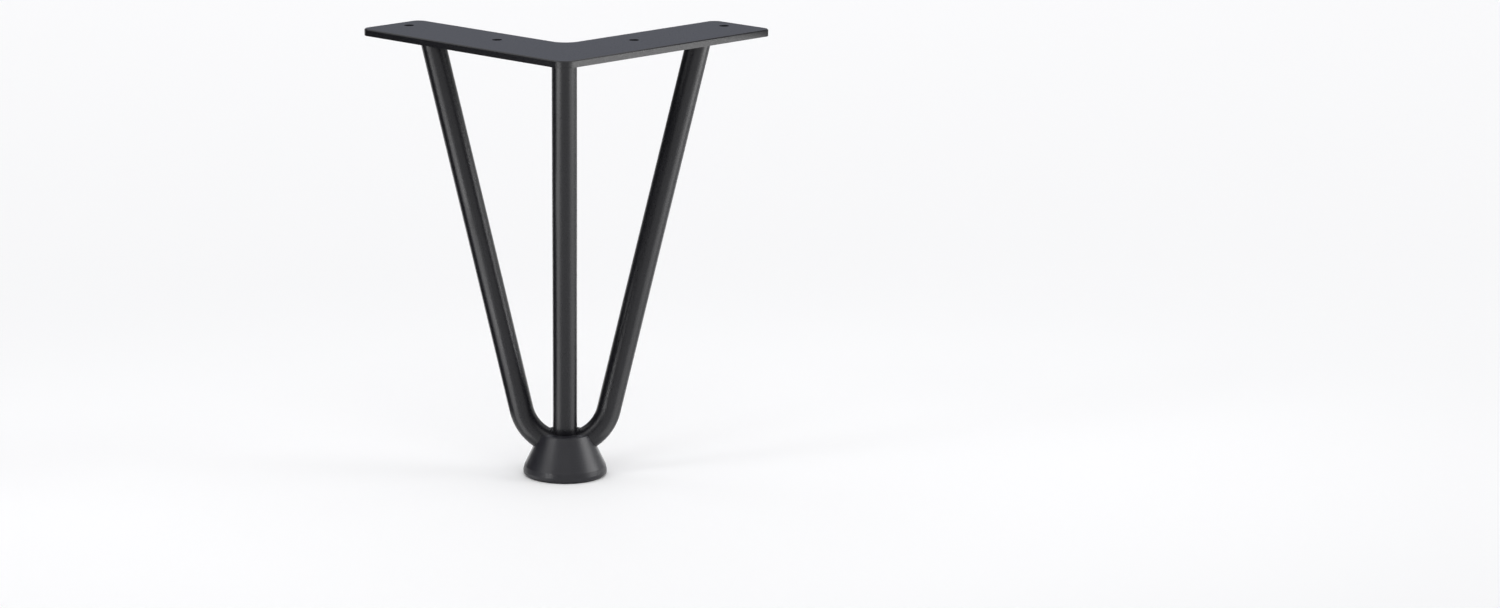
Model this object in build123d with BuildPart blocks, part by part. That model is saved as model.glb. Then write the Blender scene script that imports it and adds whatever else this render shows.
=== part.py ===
# Hairpin table leg: an L-shaped mounting plate, one rod bent into a hairpin under its two arms,
# a straight rod under its outer corner, the weld beads that join them, and a push-on foot.
# Millimetres, +Z up. The origin is on the plate's top face, over the corner rod's axis.
# The leg is symmetric about the YZ plane, and the plate's arms run back from the corner at 45 degrees.

import os
from math import asin, atan2, cos, degrees, hypot, radians, sin, sqrt

from build123d import *

# Rods
rod_diameter = 12.0
rod_spacing = 91.0  # along each arm, from the corner rod to the hairpin's end
bend_radius = 22.0  # to the rod's centre line
steel_height = 203.2  # plate's top face to the underside of the bend
foot_setback = 38.0  # from the corner rod's top back to the foot's axis

# Mounting plate
arm_length = 144.0  # from the outer corner, before it is rounded
arm_width = 39.5
plate_thickness = 3.4
tip_corner_radius = 5.0
inner_corner_radius = 8.0
plate_edge_chamfer = 0.5  # along the top edges

# Screw holes, two in each arm
screw_hole_diameter = 5.0
inner_hole_distance = 64.5  # along the arm, from the corner rod
outer_hole_inset = 10.0  # from the arm's tip
hole_edge_distance = 23.5  # from the arm's outer edge

# Weld beads
plate_weld_leg = 2.5
plate_weld_arc = 96.0  # degrees round the back of each rod
bend_weld_leg = 2.8
bend_weld_front = -12.0  # degrees round the corner rod, from its side towards its back
bend_weld_back = 36.0
weld_gap = 0.15  # between the corner rod's coped end and the bend

# Foot
foot_base_diameter = 41.0
foot_top_diameter = 24.6
foot_height = 21.0
foot_band_height = 3.8  # upright band below the cone
foot_floor = 9.2  # foot material under the bend
foot_base_chamfer = 1.2  # at the floor
foot_band_chamfer = 1.2  # between band and cone
foot_rim_chamfer = 0.4  # at the top rim
foot_clearance = 0.15  # between the rods and their seat in the foot

# Derived places
rod_radius = rod_diameter / 2
plate_underside = -plate_thickness
floor_level = -(steel_height + foot_floor)
bend_level = -(steel_height - rod_radius)  # lowest point of the hairpin's centre line
rod_end_offset = rod_spacing / sqrt(2)  # of each hairpin end, along X and along Y

corner_top = Vector(0, 0, plate_underside)
bend_bottom = Vector(0, foot_setback, bend_level)
hairpin_top = Vector(0, rod_end_offset, plate_underside)

arm_plane = Plane(origin=(0, 0, 0), x_dir=(1, 1, 0), z_dir=(0, 0, 1))
hairpin_up = (hairpin_top - bend_bottom).normalized()
hairpin_plane = Plane(bend_bottom, x_dir=(1, 0, 0), z_dir=Vector(1, 0, 0).cross(hairpin_up))
corner_plane = Plane(bend_bottom, x_dir=(1, 0, 0), z_dir=corner_top - bend_bottom)
foot_plane = Plane((0, foot_setback, floor_level), x_dir=(1, 0, 0), z_dir=(0, -1, 0))
underside_plane = Plane.XY.offset(plate_underside)

# The straight runs touch the bend's circle and lean out from the hairpin's middle line.
hairpin_rise = (hairpin_top - bend_bottom).length
end_distance = hypot(rod_end_offset, hairpin_rise - bend_radius)
end_angle = atan2(rod_end_offset, hairpin_rise - bend_radius)
run_lean = end_angle - asin(bend_radius / end_distance)
apex_drop = bend_radius / sin(run_lean) - bend_radius  # where the two runs would cross
run_height = hairpin_rise + rod_diameter  # the runs start above the plate and are trimmed to it
run_half_width = (run_height + apex_drop) * sin(run_lean) / cos(run_lean)
run_points = [(-run_half_width, run_height), (0, -apex_drop), (run_half_width, run_height)]

# L-shaped plate, rounded at its outer corner to stand flush with the corner rod
arm_end = arm_length - rod_radius
arm_inner = arm_width - rod_radius
with BuildPart() as mounting_plate:
    with BuildSketch(arm_plane) as plate_outline:
        with BuildLine():
            Polyline(
                (-rod_radius, -rod_radius),
                (arm_end, -rod_radius),
                (arm_end, arm_inner),
                (arm_inner, arm_inner),
                (arm_inner, arm_end),
                (-rod_radius, arm_end),
                close=True,
            )
        make_face()
        # Nearest the corner rod are the outer corner, then the inner one, then the arms' tips.
        fillet(plate_outline.vertices().sort_by_distance((0, 0))[2:], radius=tip_corner_radius)
        fillet(plate_outline.vertices().sort_by_distance((0, 0))[1], radius=inner_corner_radius)
        fillet(plate_outline.vertices().sort_by_distance((0, 0))[0], radius=rod_radius)
    extrude(amount=-plate_thickness)
    chamfer(mounting_plate.edges().group_by(Axis.Z)[-1], length=plate_edge_chamfer)
    hole_inset = hole_edge_distance - rod_radius
    outer_hole_distance = arm_end - outer_hole_inset
    with BuildSketch(arm_plane):
        for distance in (inner_hole_distance, outer_hole_distance):
            with Locations((distance, hole_inset), (hole_inset, distance)):
                Circle(screw_hole_diameter / 2)
    extrude(amount=-plate_thickness, mode=Mode.SUBTRACT)
mounting_plate.part.label = "mounting_plate"


# Centre line of the hairpin: one straight run, the bend and the other run
with BuildLine(hairpin_plane) as hairpin_line:
    FilletPolyline(*run_points, radius=bend_radius)
bend = hairpin_line.edges().filter_by(GeomType.CIRCLE)[0]
bend_start = Plane(bend @ 0, x_dir=hairpin_plane.z_dir, z_dir=bend % 0)
bend_axis = Axis(bend.arc_center, hairpin_plane.z_dir)


def hairpin_bar(radius):
    with BuildPart() as bar:
        with BuildSketch(bend_start):
            Circle(radius)
        revolve(axis=bend_axis, revolution_arc=degrees(bend.length / bend_radius))
        # The flat ends of the bend grow into the two straight runs.
        extrude(bar.faces().filter_by(GeomType.PLANE), amount=run_height)
    return bar.part


def corner_bar(radius):
    with BuildPart() as bar:
        with BuildSketch(corner_plane):
            Circle(radius)
        extrude(amount=(corner_top - bend_bottom).length + rod_diameter)
    return bar.part


# One rod bent into a hairpin, both ends cut level under the plate
with BuildPart() as hairpin_rod:
    add(hairpin_bar(rod_radius))
    split(bisect_by=underside_plane, keep=Keep.BOTTOM)
hairpin_rod.part.label = "hairpin_rod"

# Straight rod from the plate's corner, its lower end coped to sit on the bend
with BuildPart() as corner_rod:
    add(corner_bar(rod_radius))
    split(bisect_by=underside_plane, keep=Keep.BOTTOM)
    add(hairpin_bar(rod_radius + weld_gap), mode=Mode.SUBTRACT)
corner_rod.part.label = "corner_rod"

# Fillet beads under the plate, behind each rod
bead_base = plate_underside - plate_weld_leg
bead_bases = [
    (-rod_end_offset, rod_end_offset, bead_base),
    (0, 0, bead_base),
    (rod_end_offset, rod_end_offset, bead_base),
]
bead_turn = (0, 0, 90 - plate_weld_arc / 2)
with BuildPart() as plate_welds:
    with Locations(*bead_bases):
        Cone(
            rod_radius,
            rod_radius + plate_weld_leg,
            plate_weld_leg,
            arc_size=plate_weld_arc,
            rotation=bead_turn,
            align=None,
        )
    add(hairpin_rod.part, mode=Mode.SUBTRACT)
    add(corner_rod.part, mode=Mode.SUBTRACT)
plate_welds.part.label = "plate_welds"


def saddle_point(side, angle):
    reach = rod_radius * cos(radians(angle))
    height = bend_radius - sqrt(bend_radius**2 - 2 * bend_radius * reach)
    local = (side * reach, rod_radius * sin(radians(angle)), height)
    return corner_plane.from_local_coords(local)


# Short beads in the two corners between the corner rod and the bend
with BuildPart() as bend_welds:
    for side in (-1, 1):
        front = saddle_point(side, bend_weld_front)
        run = saddle_point(side, bend_weld_back) - front
        with BuildSketch(Plane(front, z_dir=run)):
            Circle(bend_weld_leg)
        extrude(amount=run.length)
    add(corner_bar(rod_radius), mode=Mode.SUBTRACT)
    add(hairpin_rod.part, mode=Mode.SUBTRACT)
bend_welds.part.label = "bend_welds"

# Cone-shaped foot with a seat for the bend, open at the top, and a relief for the corner rod
with BuildPart() as foot:
    with BuildSketch(foot_plane) as foot_profile:
        with BuildLine():
            Polyline(
                (0, 0),
                (foot_base_diameter / 2, 0),
                (foot_base_diameter / 2, foot_band_height),
                (foot_top_diameter / 2, foot_height),
                (0, foot_height),
                close=True,
            )
        make_face()
        chamfer(foot_profile.vertices().sort_by(Axis.X)[-2:].sort_by(Axis.Y)[-1], length=foot_band_chamfer)
        chamfer(foot_profile.vertices().sort_by(Axis.Y)[:2].sort_by(Axis.X)[-1], length=foot_base_chamfer)
        chamfer(foot_profile.vertices().sort_by(Axis.Y)[-2:].sort_by(Axis.X)[-1], length=foot_rim_chamfer)
    revolve(axis=Axis(foot_plane.origin, (0, 0, 1)))
    add(hairpin_bar(rod_radius + foot_clearance), mode=Mode.SUBTRACT)
    with BuildSketch(hairpin_plane):
        with BuildLine():
            FilletPolyline(*run_points, radius=bend_radius)
            Line(run_points[-1], run_points[0])
        make_face()
    extrude(amount=rod_radius + foot_clearance, both=True, mode=Mode.SUBTRACT)
    add(corner_bar(rod_radius + foot_clearance), mode=Mode.SUBTRACT)
foot.part.label = "foot"

os.makedirs("parts", exist_ok=True)
for node in (mounting_plate, hairpin_rod, corner_rod, plate_welds, bend_welds, foot):
    export_step(node.part, f"parts/{node.part.label}.step")
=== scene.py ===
import math

import bmesh
import bpy
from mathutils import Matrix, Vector


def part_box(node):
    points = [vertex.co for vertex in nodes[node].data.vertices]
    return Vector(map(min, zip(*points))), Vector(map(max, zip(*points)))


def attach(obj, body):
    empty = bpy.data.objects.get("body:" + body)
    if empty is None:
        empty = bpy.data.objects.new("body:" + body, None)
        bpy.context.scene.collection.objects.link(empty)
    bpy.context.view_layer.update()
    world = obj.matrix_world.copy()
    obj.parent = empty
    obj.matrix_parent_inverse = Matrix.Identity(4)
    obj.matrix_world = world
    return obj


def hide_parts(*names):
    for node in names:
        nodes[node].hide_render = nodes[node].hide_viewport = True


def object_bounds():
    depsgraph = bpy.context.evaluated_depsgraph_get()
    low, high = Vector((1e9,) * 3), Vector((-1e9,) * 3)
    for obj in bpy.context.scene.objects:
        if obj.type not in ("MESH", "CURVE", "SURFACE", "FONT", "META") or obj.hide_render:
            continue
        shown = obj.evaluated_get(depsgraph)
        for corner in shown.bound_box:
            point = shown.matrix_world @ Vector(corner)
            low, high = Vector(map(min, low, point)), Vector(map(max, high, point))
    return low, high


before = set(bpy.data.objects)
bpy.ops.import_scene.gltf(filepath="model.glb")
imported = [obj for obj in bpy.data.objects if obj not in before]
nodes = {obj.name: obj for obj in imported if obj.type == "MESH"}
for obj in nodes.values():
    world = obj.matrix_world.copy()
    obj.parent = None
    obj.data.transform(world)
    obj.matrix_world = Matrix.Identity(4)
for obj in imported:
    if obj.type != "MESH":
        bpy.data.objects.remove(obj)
cadLow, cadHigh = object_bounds()
scene = bpy.context.scene
print("frame loaded:", sorted(nodes))

mm = 0.001
white = "#FFFFFF"


def linearColour(hexText):
    channels = [int(hexText[i:i + 2], 16) / 255 for i in (1, 3, 5)]
    return [c / 12.92 if c <= 0.04045 else ((c + 0.055) / 1.055) ** 2.4 for c in channels] + [1.0]


def addNode(tree, kind, settings=None, inputs=None):
    node = tree.nodes.new(kind)
    for name, value in (settings or {}).items():
        setattr(node, name, value)
    for name, value in (inputs or {}).items():
        if isinstance(value, bpy.types.NodeSocket):
            tree.links.new(value, node.inputs[name])
        else:
            node.inputs[name].default_value = value
    return node


def newMaterial(name):
    material = bpy.data.materials.new(name)
    material.use_nodes = True
    tree = material.node_tree
    tree.nodes.clear()
    return material, tree


def perMetre(sizeMm):
    return 1 / (sizeMm * mm)  # noise scale for features of that size


noiseSpan = (0.3, 0.7)  # where most values of a noise lie
waveLength = math.pi / 10  # of the wave texture at a scale of 1


# What both finishes share: two tones in slow patches, gloss that follows the fine grain,
# and a bump of the fine grain on top of the coarser relief
def finishSkin(tree, p, patch, relief, reliefHeight, grain, grainHeight):
    colour = addNode(tree, "ShaderNodeMix", {"data_type": "RGBA"}, {
        "Factor": patch.outputs["Fac"],
        "A": linearColour(p["tones"][0]), "B": linearColour(p["tones"][1])})
    gloss = addNode(tree, "ShaderNodeMapRange", None, {
        "Value": grain.outputs["Fac"], "From Min": noiseSpan[0], "From Max": noiseSpan[1],
        "To Min": p["roughness"] - p["roughnessSpread"],
        "To Max": p["roughness"] + p["roughnessSpread"]})
    reliefBump = addNode(tree, "ShaderNodeBump", None, {
        "Strength": 1.0, "Distance": reliefHeight * mm, "Height": relief.outputs["Fac"]})
    grainBump = addNode(tree, "ShaderNodeBump", None, {
        "Strength": 1.0, "Distance": grainHeight * mm, "Height": grain.outputs["Fac"],
        "Normal": reliefBump.outputs["Normal"]})
    skin = addNode(tree, "ShaderNodeBsdfPrincipled", None, {
        "Base Color": colour.outputs["Result"], "Roughness": gloss.outputs["Result"],
        "Specular IOR Level": p["specular"], "Normal": grainBump.outputs["Normal"]})
    addNode(tree, "ShaderNodeOutputMaterial", None, {"Surface": skin.outputs["BSDF"]})


# Polyester powder, sprayed on the steel and melted in an oven: a satin black film whose faint
# orange peel breaks up every highlight, a touch greyer where the film is thin
powderCoat = {
    "tones": ("#131317", "#19191E"),  # full film and thin film
    "roughness": 0.31,
    "roughnessSpread": 0.05,
    "specular": 0.4,
    "patchSize": 18.0,  # mm, slow drift of film thickness
    "peelSize": 2.4,  # mm; real peel is about 1 mm, drawn coarser so that it shows
    "peelHeight": 0.020,  # mm
    "gritSize": 0.7,  # mm; real grit is under 0.1 mm, drawn coarser so that it shows
    "gritHeight": 0.006,  # mm
}


def makePowderCoat(p):
    material, tree = newMaterial("satinBlackPowderCoat")
    place = addNode(tree, "ShaderNodeTexCoord").outputs["Object"]
    patch = addNode(tree, "ShaderNodeTexNoise", None, {
        "Vector": place, "Scale": perMetre(p["patchSize"]), "Detail": 3.0, "Roughness": 0.55})
    peel = addNode(tree, "ShaderNodeTexNoise", None, {
        "Vector": place, "Scale": perMetre(p["peelSize"]), "Detail": 1.0, "Roughness": 0.4})
    grit = addNode(tree, "ShaderNodeTexNoise", None, {
        "Vector": place, "Scale": perMetre(p["gritSize"]), "Detail": 2.0, "Roughness": 0.6})
    finishSkin(tree, p, patch, peel, p["peelHeight"], grit, p["gritHeight"])
    return material


# Black rubber, injection moulded in a spark-eroded cavity: a closed skin with a soft sheen,
# fine even grain and the faint rings that turning left in the mould
footRubber = {
    "tones": ("#1B1B20", "#232329"),  # bare skin and bloom
    "roughness": 0.36,
    "roughnessSpread": 0.06,
    "specular": 0.41,
    "patchSize": 9.0,  # mm
    "ringSpacing": 1.3,  # mm; real turning marks are finer, drawn coarser so that they show
    "ringHeight": 0.010,  # mm
    "grainSize": 0.6,  # mm; real grain is about 0.1 mm, drawn coarser so that it shows
    "grainHeight": 0.006,  # mm
}


def makeFootRubber(p):
    material, tree = newMaterial("mouldedBlackRubber")
    place = addNode(tree, "ShaderNodeTexCoord").outputs["Object"]
    patch = addNode(tree, "ShaderNodeTexNoise", None, {
        "Vector": place, "Scale": perMetre(p["patchSize"]), "Detail": 3.0})
    rings = addNode(tree, "ShaderNodeTexWave", {"bands_direction": "Z"}, {
        "Vector": place, "Scale": perMetre(p["ringSpacing"]) * waveLength,
        "Distortion": 0.6, "Detail": 1.0, "Detail Scale": 2.0})
    grain = addNode(tree, "ShaderNodeTexNoise", None, {
        "Vector": place, "Scale": perMetre(p["grainSize"]), "Detail": 2.0, "Roughness": 0.6})
    finishSkin(tree, p, patch, rings, p["ringHeight"], grain, p["grainHeight"])
    return material


coatMaterial = makePowderCoat(powderCoat)
rubberMaterial = makeFootRubber(footRubber)
finishes = {
    "mounting_plate": coatMaterial,
    "hairpin_rod": coatMaterial,
    "corner_rod": coatMaterial,
    "foot": rubberMaterial,
}
for name, material in finishes.items():
    for slot in nodes[name].material_slots:
        slot.material = material
print("finishes set on", len(finishes), "nodes")

# Places on the frame: the rods' radius, where their tops meet the plate, and the bend's lowest point
rodRadius = (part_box("corner_rod")[1].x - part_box("corner_rod")[0].x) / 2
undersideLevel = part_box("mounting_plate")[0].z
footCentre = (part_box("foot")[0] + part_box("foot")[1]) / 2
bendBottom = Vector((footCentre.x, footCentre.y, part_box("hairpin_rod")[0].z + rodRadius))
rimDepth = 0.1 * mm  # a rod's points this close to the plate are on its top rim


def topCentre(node, side):
    points = [v.co for v in nodes[node].data.vertices]
    rim = [p for p in points if p.z > undersideLevel - rimDepth and p.x * side >= 0]
    return Vector([(min(p[i] for p in rim) + max(p[i] for p in rim)) / 2 for i in range(3)])


cornerTop = Vector((footCentre.x, topCentre("corner_rod", 0).y, undersideLevel))
rodTops = [topCentre("hairpin_rod", -1), cornerTop, topCentre("hairpin_rod", 1)]

# Weld metal laid by hand under the same coat: overlapping ripples in a row that tapers at both ends
weldRipples = {
    "ringPoints": 20,
    "stepsPerRipple": 8,
    "depth": 0.14,  # share of the bead's radius
    "bow": 0.45,  # how far the middle of a ripple lags, in ripples
    "openFace": 45,  # degrees round the bead, half-way between the two surfaces that it joins
    "tipArea": 0.03,  # share of the bead's section that is left at its very ends
}
plateBeads = {
    "radius": 2.3,  # mm
    "ripple": 1.7,  # mm from one to the next
    "arc": (-52, 52),  # degrees round each rod, from straight behind it
}
bendBeads = {
    "radius": 1.5,  # mm
    "ripple": 1.3,  # mm from one to the next
    "arc": (-14, 48),  # degrees round the corner rod, from its side towards its back
    "sunk": 0.3,  # mm, how deep the bead's middle lies in the corner rod
    "bendRadius": 22.0,  # mm, to the rod's centre line
}


# place gives the bead's middle at an angle, and two directions across the bead
def addBead(bm, place, bead, p):
    start, end = bead["arc"]
    length = math.radians(end - start) * rodRadius / mm
    ripples = round(length / bead["ripple"])
    steps = ripples * p["stepsPerRipple"]
    count = p["ringPoints"]
    openFace = math.radians(p["openFace"])
    rings = []
    for i in range(steps + 1):
        t = i / steps
        middle, outward, along = place(start + t * (end - start))
        fromEnd = min(1.0, min(t, 1 - t) * length / bead["radius"])
        taper = math.sqrt(max(p["tipArea"], 1 - (1 - fromEnd) ** 2))
        ring = []
        for k in range(count):
            turn = 2 * math.pi * k / count
            phase = t * ripples + p["bow"] * math.cos(turn - openFace) ** 2
            crest = 1 - p["depth"] * (1 - abs(math.sin(math.pi * phase)))
            offset = outward * math.cos(turn) + along * math.sin(turn)
            ring.append(bm.verts.new(middle + offset * bead["radius"] * mm * taper * crest))
        rings.append(ring)
    for near, far in zip(rings, rings[1:]):
        for k in range(count):
            after = (k + 1) % count
            bm.faces.new((near[k], near[after], far[after], far[k]))
    bm.faces.new(rings[0])
    bm.faces.new(rings[-1])


def finishBeads(bm, name, node):
    bmesh.ops.recalc_face_normals(bm, faces=bm.faces)
    mesh = bpy.data.meshes.new(name)
    bm.to_mesh(mesh)
    bm.free()
    mesh.materials.append(coatMaterial)
    for face in mesh.polygons:
        face.use_smooth = True
    piece = bpy.data.objects.new(name, mesh)
    scene.collection.objects.link(piece)
    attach(piece, "root")
    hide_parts(node)
    print(name, "laid with", len(mesh.polygons), "faces")


# Behind each rod's top, in the corner under the plate
def layPlateBeads():
    bm = bmesh.new()
    for top in rodTops:
        def place(angle, top=top):
            a = math.radians(angle)
            outward = Vector((math.sin(a), math.cos(a), 0))
            return top + outward * rodRadius, outward, Vector((0, 0, -1))
        addBead(bm, place, plateBeads, weldRipples)
    finishBeads(bm, "plate_weld_beads", "plate_welds")


# On both sides of the corner rod's lower end, in the saddle where it sits on the bend
def layBendBeads():
    bm = bmesh.new()
    axis = (cornerTop - bendBottom).normalized()
    backward = axis.cross(Vector((1, 0, 0)))
    bendRadius = bendBeads["bendRadius"] * mm
    middleRadius = rodRadius - bendBeads["sunk"] * mm
    for side in (-1, 1):
        def place(angle, side=side):
            a = math.radians(angle)
            outward = Vector((side * math.cos(a), 0, 0)) + backward * math.sin(a)
            reach = rodRadius * math.cos(a)
            rise = bendRadius - math.sqrt(bendRadius ** 2 - 2 * bendRadius * reach)
            return bendBottom + outward * middleRadius + axis * rise, outward, axis
        addBead(bm, place, bendBeads, weldRipples)
    finishBeads(bm, "bend_weld_beads", "bend_welds")


layPlateBeads()
layBendBeads()

# Pale floor under the foot, matt like a sheet of card
floorSheet = {
    "colour": "#F7F7F8",
    "radius": 12.0,  # m, wide enough to fill every view
    "segments": 96,
}


def makeFloor(p):
    material, tree = newMaterial("mattWhiteCard")
    card = addNode(tree, "ShaderNodeBsdfPrincipled", None, {
        "Base Color": linearColour(p["colour"]), "Roughness": 1.0, "Specular IOR Level": 0.0})
    addNode(tree, "ShaderNodeOutputMaterial", None, {"Surface": card.outputs["BSDF"]})
    mesh = bpy.data.meshes.new("floorSheet")
    bm = bmesh.new()
    bmesh.ops.create_circle(bm, cap_ends=True, segments=p["segments"], radius=p["radius"])
    bm.to_mesh(mesh)
    bm.free()
    mesh.materials.append(material)
    floor = bpy.data.objects.new("floorSheet", mesh)
    floor.location = (0, 0, cadLow.z)
    scene.collection.objects.link(floor)


makeFloor(floorSheet)
print("floor laid at", round(cadLow.z / mm, 2), "mm")

# Soft light far away, drawn in the world so that the floor is lit evenly. Each field comes from an azimuth
# and an elevation, and fades over its edge, all in degrees. Azimuth 0 is behind the camera, 90 to the right.
# The flag takes light away straight above, so that the plate hardly shades the floor.
skyFields = {
    "overhead": {"from": (0, 90), "halfAngle": 51, "edge": 28, "tint": white, "strength": 1.72},
    "overheadFlag": {"from": (0, 90), "halfAngle": 24, "edge": 24, "tint": white, "strength": -0.90},
    "behindLeg": {"from": (180, 12), "halfAngle": 26, "edge": 24, "tint": "#E4EAFF", "strength": 0.31},
    "front": {"from": (0, 4), "halfAngle": 20, "edge": 18, "tint": white, "strength": 0.85},
    "frontRight": {"from": (36, 4), "halfAngle": 16, "edge": 16, "tint": white, "strength": 0.80},
    "backRight": {"from": (130, 8), "halfAngle": 20, "edge": 20, "tint": white, "strength": 0.70},
}
roomGlow = 0.04  # from every direction


def towards(azimuth, elevation):
    a, e = math.radians(azimuth), math.radians(elevation)
    return Vector((math.sin(a) * math.cos(e), -math.cos(a) * math.cos(e), math.sin(e)))


def makeSky(fields, glow):
    world = bpy.data.worlds.new("softStudio")
    world.use_nodes = True
    tree = world.node_tree
    tree.nodes.clear()
    direction = addNode(tree, "ShaderNodeTexCoord").outputs["Generated"]
    total = (glow, glow, glow)
    for field in fields.values():
        cosine = addNode(tree, "ShaderNodeVectorMath", {"operation": "DOT_PRODUCT"}, {
            0: direction, 1: towards(*field["from"])})
        inner = math.cos(math.radians(field["halfAngle"] - field["edge"] / 2))
        outer = math.cos(math.radians(field["halfAngle"] + field["edge"] / 2))
        level = addNode(tree, "ShaderNodeMapRange", {"interpolation_type": "SMOOTHSTEP"}, {
            "Value": cosine.outputs["Value"], "From Min": outer, "From Max": inner,
            "To Min": 0.0, "To Max": field["strength"]})
        light = addNode(tree, "ShaderNodeVectorMath", {"operation": "SCALE"}, {
            0: linearColour(field["tint"])[:3], "Scale": level.outputs["Result"]})
        added = addNode(tree, "ShaderNodeVectorMath", {"operation": "ADD"}, {
            0: light.outputs["Vector"], 1: total})
        total = added.outputs["Vector"]
    sky = addNode(tree, "ShaderNodeBackground", None, {"Color": total})
    addNode(tree, "ShaderNodeOutputWorld", None, {"Surface": sky.outputs["Background"]})
    scene.world = world


makeSky(skyFields, roomGlow)
print("sky drawn with", len(skyFields), "fields")

# A softbox over the floor behind, and two soft spots whose narrow cones fill the shade round the foot.
# Metres and watts. A lamp's aim is how far from the foot it points, on its own side.
lamps = {
    "softboxBack": {
        "kind": "AREA", "from": (180, 42), "distance": 2.6, "aim": 1.7, "size": 1.2, "power": 2.2},
    "spotRight": {
        "kind": "SPOT", "from": (88, 36), "distance": 1.5, "aim": 0.0, "size": 0.22, "power": 15.0},
    "spotLeft": {
        "kind": "SPOT", "from": (-62, 36), "distance": 1.5, "aim": 0.0, "size": 0.22, "power": 15.0},
}
spotCone = 21  # degrees


def addLamp(name, p):
    data = bpy.data.lights.new(name, p["kind"])
    data.energy = p["power"]
    if p["kind"] == "AREA":
        data.size = p["size"]
    else:
        data.shadow_soft_size = p["size"]
        data.spot_size = math.radians(spotCone)
        data.spot_blend = 1.0
    azimuth, elevation = p["from"]
    lamp = bpy.data.objects.new(name, data)
    lamp.location = footCentre + towards(azimuth, elevation) * p["distance"]
    aim = footCentre + towards(azimuth, 0) * p["aim"] - lamp.location
    lamp.rotation_mode = "QUATERNION"
    lamp.rotation_quaternion = aim.to_track_quat("-Z", "Y")
    lamp.visible_camera = False
    scene.collection.objects.link(lamp)


for name, lamp in lamps.items():
    addLamp(name, lamp)
print("lamps placed:", len(lamps))

# Lit, grey and dark cards that only show as reflections, as round a product on a photographer's table.
# Each lies between its two azimuths, and runs from its first reach and height to its second,
# in metres from the foot's middle and over the floor.
flat = (0.001, 0.001)  # for a card that lies on the floor
cards = {
    "footCardRight": {
        "azimuth": (72, 107), "reach": (1.25, 0.96), "height": (0.28, 0.84), "radiance": 4.5},
    "footCardLeft": {
        "azimuth": (-44, -76), "reach": (0.135, 0.104), "height": (0.075, 0.118), "radiance": 3.1},
    "bandCardLeft": {
        "azimuth": (-24, -62), "reach": (0.022, 0.040), "height": flat, "radiance": 1.15},
    "rodCardLeft": {
        "azimuth": (-34, -56), "reach": (0.45, 0.45), "height": (0.030, 0.090), "radiance": 10.0},
    "nearCardRight": {
        "azimuth": (50, 92), "reach": (0.04, 0.48), "height": flat, "radiance": 2.1},
    "farCardRight": {
        "azimuth": (44, 92), "reach": (0.48, 1.20), "height": flat, "radiance": 3.2},
    "nearCardLeft": {
        "azimuth": (-43, -74), "reach": (0.04, 0.45), "height": flat, "radiance": 2.8},
    "farCardLeft": {
        "azimuth": (-33, -74), "reach": (0.45, 1.70), "height": flat, "radiance": 4.4},
    "edgeCardRight": {
        "azimuth": (70, 104), "reach": (0.60, 0.60), "height": (0.055, 0.15), "radiance": 6.6},
    "nearCardBack": {
        "azimuth": (140, 220), "reach": (0.04, 0.60), "height": flat, "radiance": 2.2},
    "greyCardRight": {
        "azimuth": (58, 140), "reach": (0.17, 0.17), "height": (0.205, 0.310), "radiance": 0.4},
    "darkCardLeft": {
        "azimuth": (-78, -126), "reach": (0.10, 8.00), "height": flat, "radiance": 0.0},
}


def addCard(name, p):
    material, tree = newMaterial(name)
    glow = addNode(tree, "ShaderNodeEmission", None, {"Strength": p["radiance"]})
    addNode(tree, "ShaderNodeOutputMaterial", None, {"Surface": glow.outputs["Emission"]})
    corners = []
    for end, side in ((0, 0), (0, 1), (1, 1), (1, 0)):
        corner = towards(p["azimuth"][side], 0) * p["reach"][end]
        corners.append((footCentre.x + corner.x, footCentre.y + corner.y, cadLow.z + p["height"][end]))
    mesh = bpy.data.meshes.new(name)
    mesh.from_pydata(corners, [], [(0, 1, 2, 3)])
    mesh.materials.append(material)
    card = bpy.data.objects.new(name, mesh)
    scene.collection.objects.link(card)
    card.visible_camera = False
    card.visible_diffuse = False
    card.visible_shadow = False
    card.visible_transmission = False


for name, card in cards.items():
    addCard(name, card)
print("cards set up:", len(cards))

# Camera in front of the plate's outer corner, a little above it
cameraPlace = {
    "lens": 96.66,  # mm
    "sensor": 36.0,  # mm wide
    "clip": (0.01, 100),  # m
    "distance": 1.921,  # m, to the point aimed at: under the corner, half-way up the leg
    "azimuth": 0.58,
    "elevation": 12.50,
    "picture": (1500, 608),
    "targetPixel": (564.34, 279.37),  # where the picture shows the point aimed at
}


def makeCamera(p):
    target = Vector((0, 0, (cadLow.z + cadHigh.z) / 2))
    back = towards(p["azimuth"], p["elevation"])
    data = bpy.data.cameras.new("camera")
    data.sensor_width = p["sensor"]
    data.lens = p["lens"]
    data.clip_start, data.clip_end = p["clip"]
    width, height = p["picture"]
    data.shift_x = (width / 2 - p["targetPixel"][0]) / width
    data.shift_y = (p["targetPixel"][1] - height / 2) / width
    camera = bpy.data.objects.new("camera", data)
    camera.location = target + back * p["distance"]
    camera.rotation_mode = "QUATERNION"
    camera.rotation_quaternion = (-back).to_track_quat("-Z", "Y")
    scene.collection.objects.link(camera)
    scene.camera = camera


makeCamera(cameraPlace)
scene.view_settings.view_transform = "Standard"
print("camera set")

bpy.context.view_layer.update()
